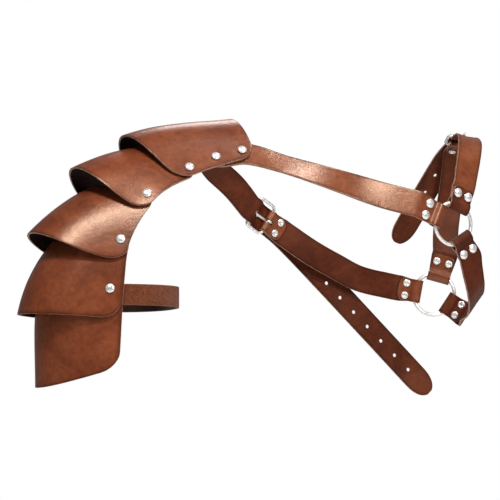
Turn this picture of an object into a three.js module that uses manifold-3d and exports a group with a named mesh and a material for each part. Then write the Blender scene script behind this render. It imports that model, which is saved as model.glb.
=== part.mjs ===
// Leather shoulder pauldron of five overlapping lames with a strap harness.
// Millimetres, +Z up, +X toward the wearer's left, +Y toward the wearer's back.
// The origin is where the first lame sits on the wearer's right shoulder.
import * as THREE from 'three';
import Module from 'manifold-3d';

const wasm = await Module();
wasm.setup();

// Driving dimensions.
const lame_thickness = 2.4;
const lame_gap = 0.5;
const arm_reach = 160;
const armour_height = 290;
const half_depth = 68;
const flare = 21;
const corner_radius = 15;
const strap_width = 28;
const strap_thickness = 2.2;
const strap_gap = 0.3;
const fold_narrowing = 0.88;
const ring_radius = 22.4;
const ring_wire = 3.8;
const buckle_length = 22;
const buckle_side_room = 1.6;
const buckle_wire = 3.2;
const prong_wire = 2.8;
const rivet_cap = 9.8;
const rivet_dome = 2.2;
const rivet_shank = 3;
const rivet_spacing = 13.5;
const rivet_seat = 0.6;
const strap_room = 1.6;
const hole_diameter = 4;
const hole_pitch = 22;
const harness_span = 350;
const harness_fall = 270;
const harness_depth = 90;
const band_height = 22;
const band_thickness = 2.6;
const band_reach = 93;
const band_drop = 5.5;
const band_tilt = 3;
const rivet_setback = 13.6;
const flap_length = 8;
const tip_length = 26;
const side_tip_room = 35;
const top_tip_room = 65;
const buckle_corner = 5;
const prong_slot = 14;
const under_bend = 4;

// Hidden form that the lames follow, one row per lame start and a last one for the end.
// Crown x and hem x are shares of arm_reach, z of armour_height, depth of half_depth.
const form_rows = [
  { crown_x: 0.373, crown_z: 0.017, hem_x: 0.388, hem_z: -0.124, depth: 0.85 },
  { crown_x: -0.197, crown_z: -0.088, hem_x: 0.004, hem_z: -0.196, depth: 0.81 },
  { crown_x: -0.598, crown_z: -0.240, hem_x: -0.298, hem_z: -0.283, depth: 0.83 },
  { crown_x: -0.874, crown_z: -0.442, hem_x: -0.494, hem_z: -0.430, depth: 0.85 },
  { crown_x: -0.981, crown_z: -0.662, hem_x: -0.556, hem_z: -0.595, depth: 0.89 },
  { crown_x: -0.950, crown_z: -0.964, hem_x: -0.588, hem_z: -0.896, depth: 0.89 },
];

// One row per lame: where it starts and ends along the form, and its share of the flare.
const lame_rows = [
  { start: 0, crown_end: 1.26, hem_end: 1.44, flare: 0.82 },
  { start: 1, crown_end: 2.05, hem_end: 2.45, flare: 1.14 },
  { start: 2, crown_end: 3.06, hem_end: 3.62, flare: 1.06 },
  { start: 3, crown_end: 4.15, hem_end: 4.46, flare: 0.73 },
  { start: 3.9, crown_end: 5, hem_end: 5, flare: 0 },
];

// At the hems two lames lie on each other: the lift that keeps a lame_gap between them.
const overlap_shares = lame_rows.slice(1).flatMap((inner, i) => {
  const outer = lame_rows[i];
  return [
    (inner.start - outer.start) / (outer.hem_end - outer.start),
    1 - (outer.hem_end - inner.start) / (inner.hem_end - inner.start),
  ];
});
const hem_lift = (lame_thickness + lame_gap) / Math.min(...overlap_shares);

// Steps across half a lame, crown to hem, closer together at the rounded corner.
const half_steps = [0, 0.15, 0.3, 0.44, 0.57, 0.69, 0.79, 0.86, 0.91, 0.95, 0.985, 1];
const lame_rows_along = 6;

const v3 = (x, y, z) => new THREE.Vector3(x, y, z);

const crown_curve = new THREE.CatmullRomCurve3(
  form_rows.map((row) => v3(row.crown_x * arm_reach, 0, row.crown_z * armour_height)), false, 'catmullrom');
const hem_curve = new THREE.CatmullRomCurve3(
  form_rows.map((row) => v3(row.hem_x * arm_reach, row.depth * half_depth, row.hem_z * armour_height)),
  false, 'catmullrom');
const form_length = form_rows.length - 1;

// A point of the hidden form: along 0 to 5 from the neck to the elbow, across -1 front to 1 back.
function formPoint(along, across) {
  const share = THREE.MathUtils.clamp(along / form_length, 0, 1);
  const crown = crown_curve.getPoint(share);
  const hem = hem_curve.getPoint(share);
  const drop = across * across;
  return v3(crown.x + (hem.x - crown.x) * drop, hem.y * across, crown.z + (hem.z - crown.z) * drop);
}

function formNormal(along, across) {
  const step = 0.01;
  const low = Math.max(along - step, 0);
  const high = Math.min(along + step, form_length);
  const down = formPoint(high, across).sub(formPoint(low, across));
  const side = formPoint(along, across + step).sub(formPoint(along, across - step));
  return side.cross(down).normalize();
}

function lameEnd(lame, across) {
  return lame.crown_end + (lame.hem_end - lame.crown_end) * across * across;
}

// How far a lame stands off the form: nothing at its start, the flare at its crown's end.
function lameLift(lame, along, across) {
  const share = (along - lame.start) / (lameEnd(lame, across) - lame.start);
  const crown = Math.max(1 - across * across, 0) ** 2.2;
  return Math.max(share, 0) * (hem_lift + flare * lame.flare * crown);
}

// A point on a lame, height above its inner face.
function lamePoint(lame, along, across, height) {
  const lift = lameLift(lame, along, across) + height;
  return formPoint(along, across).addScaledVector(formNormal(along, across), lift);
}

// The direction a lame's face looks.
function lameNormal(lame, along, across) {
  const step = 0.02;
  const down = lamePoint(lame, along + step, across, 0).sub(lamePoint(lame, along - step, across, 0));
  const side = lamePoint(lame, along, across + step, 0).sub(lamePoint(lame, along, across - step, 0));
  return side.cross(down).normalize();
}

function closed(positions, faces) {
  let volume = 0;
  const a = v3(0, 0, 0);
  const b = v3(0, 0, 0);
  const c = v3(0, 0, 0);
  for (let i = 0; i < faces.length; i += 3) {
    a.fromArray(positions, faces[i] * 3);
    b.fromArray(positions, faces[i + 1] * 3);
    c.fromArray(positions, faces[i + 2] * 3);
    volume += a.dot(b.cross(c));
  }
  if (volume < 0) faces.reverse();
  const geometry = new THREE.BufferGeometry();
  geometry.setAttribute('position', new THREE.Float32BufferAttribute(positions, 3));
  geometry.setIndex(faces);
  return geometry;
}

// A thin solid between two sheets of the same grid; point(row, column, side) gives the corners.
function sheetSolid(rows, columns, point) {
  const positions = [];
  const faces = [];
  const index = (row, column, side) => (row * columns + column) * 2 + side;
  const quad = (a, b, c, d) => faces.push(a, b, c, a, c, d);
  for (let row = 0; row < rows; row += 1) {
    for (let column = 0; column < columns; column += 1) {
      positions.push(...point(row, column, 0).toArray(), ...point(row, column, 1).toArray());
    }
  }
  for (let row = 0; row + 1 < rows; row += 1) {
    for (let column = 0; column + 1 < columns; column += 1) {
      quad(
        index(row, column, 0),
        index(row, column + 1, 0),
        index(row + 1, column + 1, 0),
        index(row + 1, column, 0),
      );
      quad(
        index(row, column, 1),
        index(row + 1, column, 1),
        index(row + 1, column + 1, 1),
        index(row, column + 1, 1),
      );
    }
    const last = columns - 1;
    quad(index(row, 0, 0), index(row + 1, 0, 0), index(row + 1, 0, 1), index(row, 0, 1));
    quad(index(row, last, 0), index(row, last, 1), index(row + 1, last, 1), index(row + 1, last, 0));
  }
  for (let column = 0; column + 1 < columns; column += 1) {
    const last = rows - 1;
    quad(index(0, column, 0), index(0, column, 1), index(0, column + 1, 1), index(0, column + 1, 0));
    quad(
      index(last, column, 0),
      index(last, column + 1, 0),
      index(last, column + 1, 1),
      index(last, column, 1),
    );
  }
  return closed(positions, faces);
}

function toManifold(geometry) {
  return new wasm.Manifold(new wasm.Mesh({
    numProp: 3,
    vertProperties: new Float32Array(geometry.getAttribute('position').array),
    triVerts: new Uint32Array(geometry.getIndex().array),
  }));
}

function fromManifold(solid) {
  const mesh = solid.getMesh();
  const geometry = new THREE.BufferGeometry();
  const positions = [];
  for (let i = 0; i < mesh.vertProperties.length; i += mesh.numProp) {
    positions.push(mesh.vertProperties[i], mesh.vertProperties[i + 1], mesh.vertProperties[i + 2]);
  }
  geometry.setAttribute('position', new THREE.Float32BufferAttribute(positions, 3));
  geometry.setIndex(Array.from(mesh.triVerts));
  return geometry;
}

// A round bar through a point, along an axis.
function boreTool(point, axis, diameter, length) {
  const turn = new THREE.Quaternion().setFromUnitVectors(v3(0, 0, 1), axis);
  const place = new THREE.Matrix4().compose(point, turn, v3(1, 1, 1));
  return wasm.Manifold.cylinder(length, diameter / 2, diameter / 2, 8, true).transform(place.elements);
}

function bored(geometry, tools) {
  let solid = toManifold(geometry);
  for (const tool of tools) solid = solid.subtract(tool);
  return fromManifold(solid);
}

const pauldron = new THREE.Group();
pauldron.name = 'pauldron';

const colours = { leather: 0x8a4a2c, steel: 0xd9d9dc, cloth: 0x7a4128 };

function add(name, kind, geometry) {
  const metal = kind === 'steel';
  const material = new THREE.MeshStandardMaterial({
    color: colours[kind],
    roughness: metal ? 0.25 : 0.6,
    metalness: metal ? 1 : 0,
  });
  material.name = `${name}_${kind}`;
  const flat = geometry.index ? geometry.toNonIndexed() : geometry;
  flat.computeVertexNormals();
  const mesh = new THREE.Mesh(flat, material);
  mesh.name = name;
  pauldron.add(mesh);
}

// A rivet along an axis: from is its place on the inner face, grip the leather between the caps.
function addRivet(name, from, axis, grip) {
  const low = -strap_gap / 2;
  const high = grip + strap_gap / 2;
  const cap = rivet_cap / 2;
  const shank = rivet_shank / 2;
  const profile = [
    [0, low - rivet_dome / 2], [cap * 0.75, low - rivet_dome / 2], [cap * 0.82, low],
    [shank, low], [shank, high], [cap, high],
    [cap * 0.66, high + rivet_dome * 0.8], [0, high + rivet_dome],
  ];
  const sides = 8;
  const positions = [];
  const faces = [];
  const turn = new THREE.Quaternion().setFromUnitVectors(v3(0, 0, 1), axis);
  const place = (radius, angle, height) => {
    const point = v3(radius * Math.cos(angle), radius * Math.sin(angle), height);
    return point.applyQuaternion(turn).add(from);
  };
  positions.push(...place(0, 0, profile[0][1]).toArray());
  const rings = profile.slice(1, -1);
  for (const [radius, height] of rings) {
    for (let side = 0; side < sides; side += 1) {
      positions.push(...place(radius, (side * 2 * Math.PI) / sides, height).toArray());
    }
  }
  positions.push(...place(0, 0, profile[profile.length - 1][1]).toArray());
  const top = positions.length / 3 - 1;
  const at = (ring, side) => 1 + ring * sides + (side % sides);
  for (let side = 0; side < sides; side += 1) {
    faces.push(0, at(0, side + 1), at(0, side));
    for (let ring = 0; ring + 1 < rings.length; ring += 1) {
      faces.push(at(ring, side), at(ring, side + 1), at(ring + 1, side + 1));
      faces.push(at(ring, side), at(ring + 1, side + 1), at(ring + 1, side));
    }
    faces.push(top, at(rings.length - 1, side), at(rings.length - 1, side + 1));
  }
  add(name, 'steel', closed(positions, faces));
}

// A round wire along points; loop closes it on itself, otherwise its ends are flat.
function wire(points, diameter, sides, loop) {
  const positions = [];
  const faces = [];
  const count = points.length;
  const radius = diameter / 2;
  const step = (i) => {
    const before = loop ? points[(i + count - 1) % count] : points[Math.max(i - 1, 0)];
    const after = loop ? points[(i + 1) % count] : points[Math.min(i + 1, count - 1)];
    return after.clone().sub(before).normalize();
  };
  const middle = points.reduce((sum, point) => sum.add(point), v3(0, 0, 0)).divideScalar(count);
  const normal = v3(0, 0, 0);
  for (let i = 0; i < count; i += 1) {
    const a = points[i].clone().sub(middle);
    const b = points[(i + 1) % count].clone().sub(middle);
    normal.add(a.cross(b));
  }
  normal.normalize();
  for (let i = 0; i < count; i += 1) {
    const side = normal.clone().cross(step(i)).normalize();
    for (let k = 0; k < sides; k += 1) {
      const angle = (2 * Math.PI * k) / sides;
      const point = points[i].clone();
      point.addScaledVector(normal, radius * Math.cos(angle));
      point.addScaledVector(side, radius * Math.sin(angle));
      positions.push(...point.toArray());
    }
  }
  const at = (i, k) => (i % count) * sides + (k % sides);
  for (let i = 0; i < (loop ? count : count - 1); i += 1) {
    for (let k = 0; k < sides; k += 1) {
      faces.push(at(i, k), at(i + 1, k), at(i + 1, k + 1), at(i, k), at(i + 1, k + 1), at(i, k + 1));
    }
  }
  if (!loop) {
    for (let k = 1; k + 1 < sides; k += 1) {
      faces.push(at(0, 0), at(0, k), at(0, k + 1));
      faces.push(at(count - 1, 0), at(count - 1, k + 1), at(count - 1, k));
    }
  }
  return closed(positions, faces);
}

// The lames.
const lame_cuts = lame_rows.map(() => []);

function lameSolid(number) {
  const lame = lame_rows[number];
  const across = [...half_steps.slice(1).reverse().map((step) => -step), ...half_steps];
  const arc = formPoint(lame.start, 1).distanceTo(formPoint(lame.start, 0));
  const corner = 1 - corner_radius / (arc * 1.12);
  const hem = formPoint(lame.hem_end, 1).distanceTo(formPoint(lame.start, 1));
  return sheetSolid(lame_rows_along, across.length, (row, column, side) => {
    const w = across[column];
    const into = Math.max((Math.abs(w) - corner) / (1 - corner), 0);
    const cut = (corner_radius / hem) * (1 - Math.sqrt(Math.max(1 - into * into, 0)));
    const share = cut + (1 - 2 * cut) * (row / (lame_rows_along - 1));
    const along = lame.start + (lameEnd(lame, w) - lame.start) * share;
    return lamePoint(lame, along, w, side * lame_thickness);
  });
}

// Rivets of the lames: along and across on the form, the lames they hold, what lies inside them.
const lame_rivets = [
  { name: 'lame_rivet_1', lames: [0, 1], along: 1.1, across: 0.9, inside: 0 },
  { name: 'lame_rivet_2', lames: [1, 2], along: 2.05, across: 0.9, inside: 0 },
  { name: 'lame_rivet_3', lames: [2, 3], along: 3.06, across: 0.92, inside: 0 },
  { name: 'lame_rivet_4', lames: [3, 4], along: 4.03, across: 0.9, inside: 1 },
  { name: 'strap_end_rivet', lames: [0], along: 0.18, across: 0.89, inside: 2 },
  { name: 'strap_side_rivet', lames: [0], along: 0.6, across: 0.88, inside: 2 },
];

const strap_cuts = { front: [], back: [] };
const band_cuts = [];

for (const row of lame_rivets) {
  for (const side of ['front', 'back']) {
    const across = side === 'front' ? -row.across : row.across;
    const inner = lame_rows[row.lames[row.lames.length - 1]];
    const outer = lame_rows[row.lames[0]];
    const axis = lameNormal(outer, row.along, across);
    const under = [0, band_thickness + 2 * lame_gap, strap_thickness + strap_room][row.inside];
    const low = lamePoint(inner, row.along, across, -under - rivet_seat);
    const to = lamePoint(outer, row.along, across, lame_thickness + rivet_seat / 2);
    const grip = to.clone().sub(low).dot(axis);
    const from = to.clone().addScaledVector(axis, -grip);
    addRivet(`${row.name}_${side}`, from, axis, grip);
    const tool = boreTool(from, axis, rivet_shank + 2 * strap_gap, rivet_cap * 4);
    for (const number of row.lames) lame_cuts[number].push(tool);
    if (row.inside === 1) band_cuts.push(tool);
    if (row.inside === 2) strap_cuts[side].push(tool);
  }
}

lame_rows.forEach((lame, number) => {
  add(`lame_${number + 1}`, 'leather', bored(lameSolid(number), lame_cuts[number]));
});

// Straps. A station is a point of the strap's middle, the direction its outer face looks,
// and its half width; the strap runs through the stations.
const half_strap = strap_width / 2;

function ribbon(stations, thickness) {
  const count = stations.length;
  const across = stations.map((station, i) => {
    const before = stations[Math.max(i - 1, 0)].point;
    const after = stations[Math.min(i + 1, count - 1)].point;
    const along = after.clone().sub(before).normalize();
    return along.cross(station.out).normalize();
  });
  return sheetSolid(count, 2, (row, column, side) => {
    const station = stations[row];
    const half = station.half * (column === 0 ? -1 : 1);
    const height = thickness * (side - 0.5);
    return station.point.clone().addScaledVector(across[row], half).addScaledVector(station.out, height);
  });
}

// A place in the harness as shares of harness_span, harness_depth and harness_fall.
function place(row) {
  return v3(row.span * harness_span, row.depth * harness_depth, row.fall * harness_fall);
}

// Rings: out looks away from the wearer, right and up lie in the ring.
function ringFrame(row) {
  const out = v3(row.x, row.y, 0).normalize();
  const right = v3(0, 0, 1).cross(out).normalize();
  return { centre: place(row), out, right, up: out.clone().cross(right).normalize() };
}

const front_ring = ringFrame({ span: 0.795, depth: -1, fall: -0.384, x: 0.087, y: -0.996 });
const back_ring = ringFrame({ span: 0.951, depth: 0.667, fall: -0.636, x: 0.42, y: 0.907 });

function ringSolid(ring) {
  const points = [];
  const count = 24;
  for (let i = 0; i < count; i += 1) {
    const angle = (2 * Math.PI * i) / count;
    points.push(ring.centre.clone()
      .addScaledVector(ring.right, ring_radius * Math.cos(angle))
      .addScaledVector(ring.up, ring_radius * Math.sin(angle)));
  }
  return wire(points, ring_wire, 6, true);
}

add('front_ring', 'steel', ringSolid(front_ring));
add('back_ring', 'steel', ringSolid(back_ring));

// A strap end folded round a wire and riveted to itself. Distances run along the pull from
// the start point: inner is the bend's centre, outer where the layers start to close.
// flap_side is 1 when the flap lies on the inner side and -1 when it lies on the outer side.
function fold({ start, pull, out, inner, outer, rivet, wire_radius, flap_side }) {
  const side = (flap_side * (strap_thickness + strap_gap)) / 2;
  const loop = flap_side * (wire_radius + strap_gap + strap_thickness / 2);
  const half = half_strap * fold_narrowing;
  const across = pull.clone().cross(out);
  const at = (along, height, half_width, tilt) => ({
    point: start.clone().addScaledVector(pull, along).addScaledVector(out, height),
    out: out.clone().multiplyScalar(Math.cos(tilt)).addScaledVector(pull, -flap_side * Math.sin(tilt)),
    half: half_width,
  });
  const close = outer + flap_length * 0.375;
  const flap = [
    at(rivet + flap_length, -side, half * 0.5, Math.PI),
    at(rivet + flap_length * 0.9, -side, half * 0.76, Math.PI),
    at(rivet + flap_length * 0.7, -side, half * 0.93, Math.PI),
    at(rivet + flap_length * 0.375, -side, half, Math.PI),
    at(close, -side, half, Math.PI),
    at(outer, -loop, half, Math.PI),
  ];
  const bend = [];
  const bend_steps = 4;
  for (let i = 0; i <= bend_steps; i += 1) {
    const angle = Math.PI - (Math.PI * i) / bend_steps;
    bend.push(at(inner - Math.abs(loop) * Math.sin(angle), loop * Math.cos(angle), half, angle));
  }
  const leave = [
    at(outer, loop, half, 0),
    at(close, side, half, 0),
    at(rivet + flap_length * 0.75, side, half_strap, 0),
  ];
  const rivets = [-1, 1].map((sign) => ({
    from: start.clone().addScaledVector(pull, rivet)
      .addScaledVector(across, (sign * rivet_spacing) / 2)
      .addScaledVector(out, -Math.abs(side) - strap_thickness / 2),
    axis: out.clone(),
  }));
  return {
    stations: [...flap, ...bend, ...leave],
    rivets,
    pull,
    last: leave[2],
    lead: at(rivet + flap_length * 1.5, side, half_strap, 0),
  };
}

// The strap comes along a way square to a fold's pull and bends into it.
function cornerBend(end, arriving, radius) {
  const leaving = end.pull.clone().negate();
  const corner = end.last.point.clone().addScaledVector(end.pull, radius + 2 * strap_gap);
  const middle = corner.clone().addScaledVector(arriving, -radius).addScaledVector(leaving, radius);
  return [0, 1, 2, 3, 4].map((step) => {
    const turn = (step * Math.PI) / 8;
    const out = leaving.clone().multiplyScalar(-Math.cos(turn)).addScaledVector(arriving, Math.sin(turn));
    return { point: middle.clone().addScaledVector(out, radius), out, half: half_strap };
  });
}

// setback is the share of rivet_setback from the ring to the rivets.
function ringFold(ring, angle, setback, flap_side = 1) {
  const turn = THREE.MathUtils.degToRad(angle);
  const pull = ring.right.clone().multiplyScalar(Math.cos(turn)).addScaledVector(ring.up, Math.sin(turn));
  const inside = ring_radius - ring_wire / 2;
  const edge = Math.sqrt(inside ** 2 - (half_strap * fold_narrowing) ** 2) + ring_wire / 2 - strap_gap / 2;
  return fold({
    start: ring.centre,
    pull,
    out: ring.out,
    inner: edge,
    outer: ring_radius + ring_wire * 0.26,
    rivet: ring_radius + rivet_setback * setback,
    wire_radius: ring_wire / 2,
    flap_side,
  });
}

// Buckles: heel is the bar that carries the prong, along points from it to the front bar.
function buckleFrame(heel, front, face) {
  const along = front.clone().sub(heel).normalize();
  const out = face.clone().addScaledVector(along, -face.dot(along)).normalize();
  const across = along.clone().cross(out);
  const at = (forward, height, sideways = 0) => heel.clone()
    .addScaledVector(along, forward).addScaledVector(out, height).addScaledVector(across, sideways);
  return { heel, along, out, across, at };
}

const bar = buckle_wire / 2;
const prong_height = bar + strap_gap + prong_wire / 2;

function buckleFold(buckle) {
  return fold({
    start: buckle.heel,
    pull: buckle.along.clone().negate(),
    out: buckle.out,
    inner: 0,
    outer: buckle_wire * 0.31,
    rivet: rivet_setback * 0.956,
    wire_radius: bar,
    flap_side: 1,
  });
}

function frameSolid(buckle) {
  const half = half_strap + buckle_side_room + bar;
  const corner = buckle_corner;
  const centres = [
    { forward: buckle_length - corner, sideways: half - corner, turn: 0 },
    { forward: corner, sideways: half - corner, turn: 1 },
    { forward: corner, sideways: corner - half, turn: 2 },
    { forward: buckle_length - corner, sideways: corner - half, turn: 3 },
  ];
  const points = [];
  for (const centre of centres) {
    for (const part of [0, 0.5, 1]) {
      const angle = ((centre.turn + part) * Math.PI) / 2;
      points.push(buckle.at(
        centre.forward + corner * Math.cos(angle), 0, centre.sideways + corner * Math.sin(angle)));
    }
  }
  return wire(points, buckle_wire, 6, true);
}

// The prong goes round the heel bar, through the strap and rests on the front bar.
function prongSolid(buckle, diameter) {
  const points = [];
  for (const angle of [300, 260, 220, 180, 140, 105]) {
    const turn = THREE.MathUtils.degToRad(angle);
    points.push(buckle.at(prong_height * Math.cos(turn), prong_height * Math.sin(turn)));
  }
  points.push(buckle.at(buckle_wire * 0.94, prong_height));
  points.push(buckle.at(buckle_length + bar * 1.56, prong_height));
  return wire(points, diameter, 6, false);
}

// Stations of the holed strap through a buckle, from past its front bar to past its heel bar;
// share is a share of buckle_length from the heel bar.
function throughBuckle(buckle) {
  const under = bar + strap_gap + strap_thickness / 2;
  const over = prong_height + prong_wire / 2 + 2 * strap_gap + strap_thickness / 2;
  const rows = [
    { share: 1.273, height: -under, lean: 0 },
    { share: 1, height: -under, lean: 10 },
    { share: 0.882, height: -under * 0.72, lean: 40 },
    { share: 0.75, height: over * 0.15, lean: 50 },
    { share: 0.614, height: over * 0.68, lean: 45 },
    { share: 0.455, height: over * 0.95, lean: 18 },
    { share: 0.227, height: over * 1.02, lean: 0 },
    { share: -0.091, height: over * 1.03, lean: 0 },
    { share: -0.591, height: over * 1.17, lean: 0 },
  ];
  return rows.map((step) => {
    const lean = THREE.MathUtils.degToRad(step.lean);
    return {
      point: buckle.at(step.share * buckle_length, step.height),
      out: buckle.out.clone().multiplyScalar(Math.cos(lean)).addScaledVector(buckle.along, Math.sin(lean)),
      half: half_strap,
    };
  });
}

function slotTool(buckle) {
  const width = prong_wire * 1.5;
  const axes = new THREE.Matrix4().makeBasis(buckle.along, buckle.across.clone(), buckle.out);
  axes.setPosition(buckle.at(bar, 0));
  return wasm.Manifold.cube([prong_slot, width, prong_slot], true).transform(axes.elements);
}

const layers_grip = 2 * strap_thickness + strap_gap;

function addFoldRivets(name, end, cuts) {
  end.rivets.forEach((rivet, i) => {
    addRivet(`${name}_${i + 1}`, rivet.from, rivet.axis, layers_grip);
    cuts.push(boreTool(rivet.from, rivet.axis, rivet_shank + 2 * strap_gap, layers_grip * 3));
  });
}

// Stations along a smooth line through rows; steps is the number of them to each row gap.
function route(rows, steps) {
  const line = new THREE.CatmullRomCurve3(rows.map((row) => row.point));
  const facing = new THREE.CatmullRomCurve3(rows.map((row) => row.out));
  const stations = [];
  const total = (rows.length - 1) * steps;
  for (let i = 0; i <= total; i += 1) {
    const share = i / total;
    const along = line.getTangent(share);
    const out = facing.getPoint(share);
    out.addScaledVector(along, -out.dot(along)).normalize();
    const k = Math.min(Math.floor(i / steps), rows.length - 2);
    const part = i / steps - k;
    stations.push({
      point: line.getPoint(share),
      out,
      half: rows[k].half * (1 - part) + rows[k + 1].half * part,
    });
  }
  return stations;
}

const row = (span, depth, fall, x, y, z) => ({
  point: place({ span, depth, fall }),
  out: v3(x, y, z).normalize(),
  half: half_strap,
});

// A strap's end under the first lame, lying along its inner face.
function underLame(along, across) {
  return {
    point: lamePoint(lame_rows[0], along, across, -strap_room - strap_thickness / 2),
    out: formNormal(along, across),
    half: half_strap,
  };
}

// A strap's free end: the last stations narrow to a rounded point.
function pointed(stations, end, length) {
  const before = stations[stations.length - 1];
  const along = end.clone().sub(before.point);
  const total = along.length();
  along.normalize();
  const out = before.out.clone().addScaledVector(along, -before.out.dot(along)).normalize();
  const steps = [[0, 1], [0.45, 0.92], [0.75, 0.72], [0.93, 0.45], [1, 0.22]];
  for (const [part, half] of steps) {
    const far = total - length * (1 - part);
    stations.push({
      point: before.point.clone().addScaledVector(along, far),
      out,
      half: half_strap * half,
    });
  }
  return { from: before.point, along, out, total };
}

// Holes of a free end, counted back from its tip.
function holeTools(end, tip_room, count) {
  const tools = [];
  for (let i = 0; i < count; i += 1) {
    const far = end.total - tip_room - hole_pitch * i;
    const point = end.from.clone().addScaledVector(end.along, far);
    tools.push(boreTool(point, end.out, hole_diameter, strap_thickness * 5));
  }
  return tools;
}

// Chest strap: from under the first lame's front corner to the front ring.
{
  const end = ringFold(front_ring, 156, 1);
  const cuts = strap_cuts.front;
  addFoldRivets('chest_strap_rivet', end, cuts);
  const stations = route([
    underLame(0.75, -0.80),
    underLame(0.45, -0.87),
    underLame(0.12, -0.92),
    row(0.262, -0.760, -0.166, 0.02, -0.76, 0.65),
    row(0.389, -0.911, -0.216, 0.1, -0.88, 0.45),
    row(0.554, -1.011, -0.279, 0.05, -1, 0.1),
    end.lead,
  ], 3);
  stations.push(...end.stations.slice().reverse());
  add('chest_strap', 'leather', bored(ribbon(stations, strap_thickness), cuts));
}

// Side buckle on the wearer's back, its short strap and the long holed strap.
const side_buckle = buckleFrame(
  place({ span: 0.407, depth: 0.911, fall: -0.353 }),
  place({ span: 0.354, depth: 0.889, fall: -0.311 }),
  v3(0.05, 1, 0));
{
  const end = buckleFold(side_buckle);
  const ring_end = ringFold(back_ring, 10.5, 0.662);
  const cuts = [slotTool(side_buckle)];
  addFoldRivets('side_buckle_rivet', end, cuts);
  addFoldRivets('side_ring_rivet', ring_end, cuts);
  const stations = [...end.stations];
  stations.push(...route([
    end.lead,
    row(0.555, 0.933, -0.471, 0.05, 1, 0.05),
    row(0.642, 0.933, -0.527, 0.1, 1, 0.05),
    row(0.716, 0.889, -0.574, 0.2, 1, 0),
    ring_end.lead,
  ], 3));
  stations.push(...ring_end.stations.slice().reverse());
  add('side_buckle_strap', 'leather', bored(ribbon(stations, strap_thickness), cuts));
  add('side_buckle_frame', 'steel', frameSolid(side_buckle));
  add('side_buckle_prong', 'steel', prongSolid(side_buckle, prong_wire));
}
{
  const through = throughBuckle(side_buckle);
  const stations = route([
    underLame(0.7, 0.80),
    underLame(0.42, 0.83),
    underLame(0.12, 0.9),
    row(0.205, 0.689, -0.160, 0, 0.85, 0.53),
    row(0.277, 0.778, -0.224, 0, 0.95, 0.25),
    through[0],
  ], 3);
  stations.push(...through.slice(1));
  stations.push(row(0.499, 1.067, -0.432, 0.05, 1, 0));
  const end = pointed(stations, place({ span: 0.955, depth: 0.822, fall: -1.032 }), tip_length);
  const cuts = [
    ...strap_cuts.back,
    toManifold(prongSolid(side_buckle, prong_wire + 3 * strap_gap)),
    ...holeTools(end, side_tip_room, 7),
  ];
  add('back_strap', 'leather', bored(ribbon(stations, strap_thickness), cuts));
}

// Top buckle on the far shoulder, its strap to the back ring and the holed shoulder strap.
const top_buckle = buckleFrame(
  place({ span: 0.989, depth: 0.244, fall: -0.040 }),
  place({ span: 0.974, depth: 0.040, fall: -0.014 }),
  v3(0.25, 0.45, 0.86));
{
  const end = buckleFold(top_buckle);
  const ring_end = ringFold(back_ring, 105.6, 1);
  const cuts = [slotTool(top_buckle)];
  addFoldRivets('top_buckle_rivet', end, cuts);
  addFoldRivets('top_ring_rivet', ring_end, cuts);
  const stations = [...end.stations];
  stations.push(...route([
    end.lead,
    row(1.024, 0.70, -0.166, 0.25, 0.9, 0.35),
    row(1.024, 0.80, -0.26, 0.2, 1, 0.1),
    row(1.006, 0.76, -0.373, 0.3, 1, 0),
    ring_end.lead,
  ], 3));
  stations.push(...ring_end.stations.slice().reverse());
  add('top_buckle_strap', 'leather', bored(ribbon(stations, strap_thickness), cuts));
  add('top_buckle_frame', 'steel', frameSolid(top_buckle));
  add('top_buckle_prong', 'steel', prongSolid(top_buckle, prong_wire));
}
{
  const start = ringFold(front_ring, 70, 0.78, -1);
  const through = throughBuckle(top_buckle);
  const cuts = [toManifold(prongSolid(top_buckle, prong_wire + 3 * strap_gap))];
  addFoldRivets('shoulder_strap_rivet', start, cuts);
  const stations = [...start.stations];
  stations.push(...route([
    start.lead,
    row(0.888, -0.733, -0.093, 0.2, -0.75, 0.6),
    row(0.928, -0.444, -0.033, 0.25, -0.4, 0.9),
    through[0],
  ], 4));
  stations.push(...through.slice(1));
  stations.push(row(0.997, 0.69, -0.085, 0.1, 0.75, 0.6));
  const end = pointed(stations, place({ span: 0.895, depth: 1.244, fall: -0.418 }), tip_length);
  cuts.push(...holeTools(end, top_tip_room, 3));
  add('shoulder_strap', 'leather', bored(ribbon(stations, strap_thickness), cuts));
}

// Strap under the far arm, from the front ring to the back ring.
{
  const start = ringFold(front_ring, -58.7, 0.853);
  const end = ringFold(back_ring, 213, 0.662);
  const cuts = [];
  addFoldRivets('underarm_front_rivet', start, cuts);
  addFoldRivets('underarm_back_rivet', end, cuts);
  const turn = cornerBend(end, back_ring.out, under_bend);
  const stations = [...start.stations];
  stations.push(...route([
    start.last,
    row(0.866, -0.967, -0.563, 0.25, -0.95, -0.15),
    row(0.893, -0.860, -0.640, 0.5, -0.75, -0.42),
    row(0.935, -0.533, -0.687, 0.68, -0.48, -0.55),
    row(0.979, -0.089, -0.699, 0.75, -0.38, -0.54),
    row(1.013, 0.262, -0.706, 0.76, -0.35, -0.545),
    turn[0],
  ], 2).slice(1));
  stations.push(...turn.slice(1));
  stations.push(...end.stations.slice().reverse());
  add('underarm_strap', 'leather', bored(ribbon(stations, strap_thickness), cuts));
}

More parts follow.
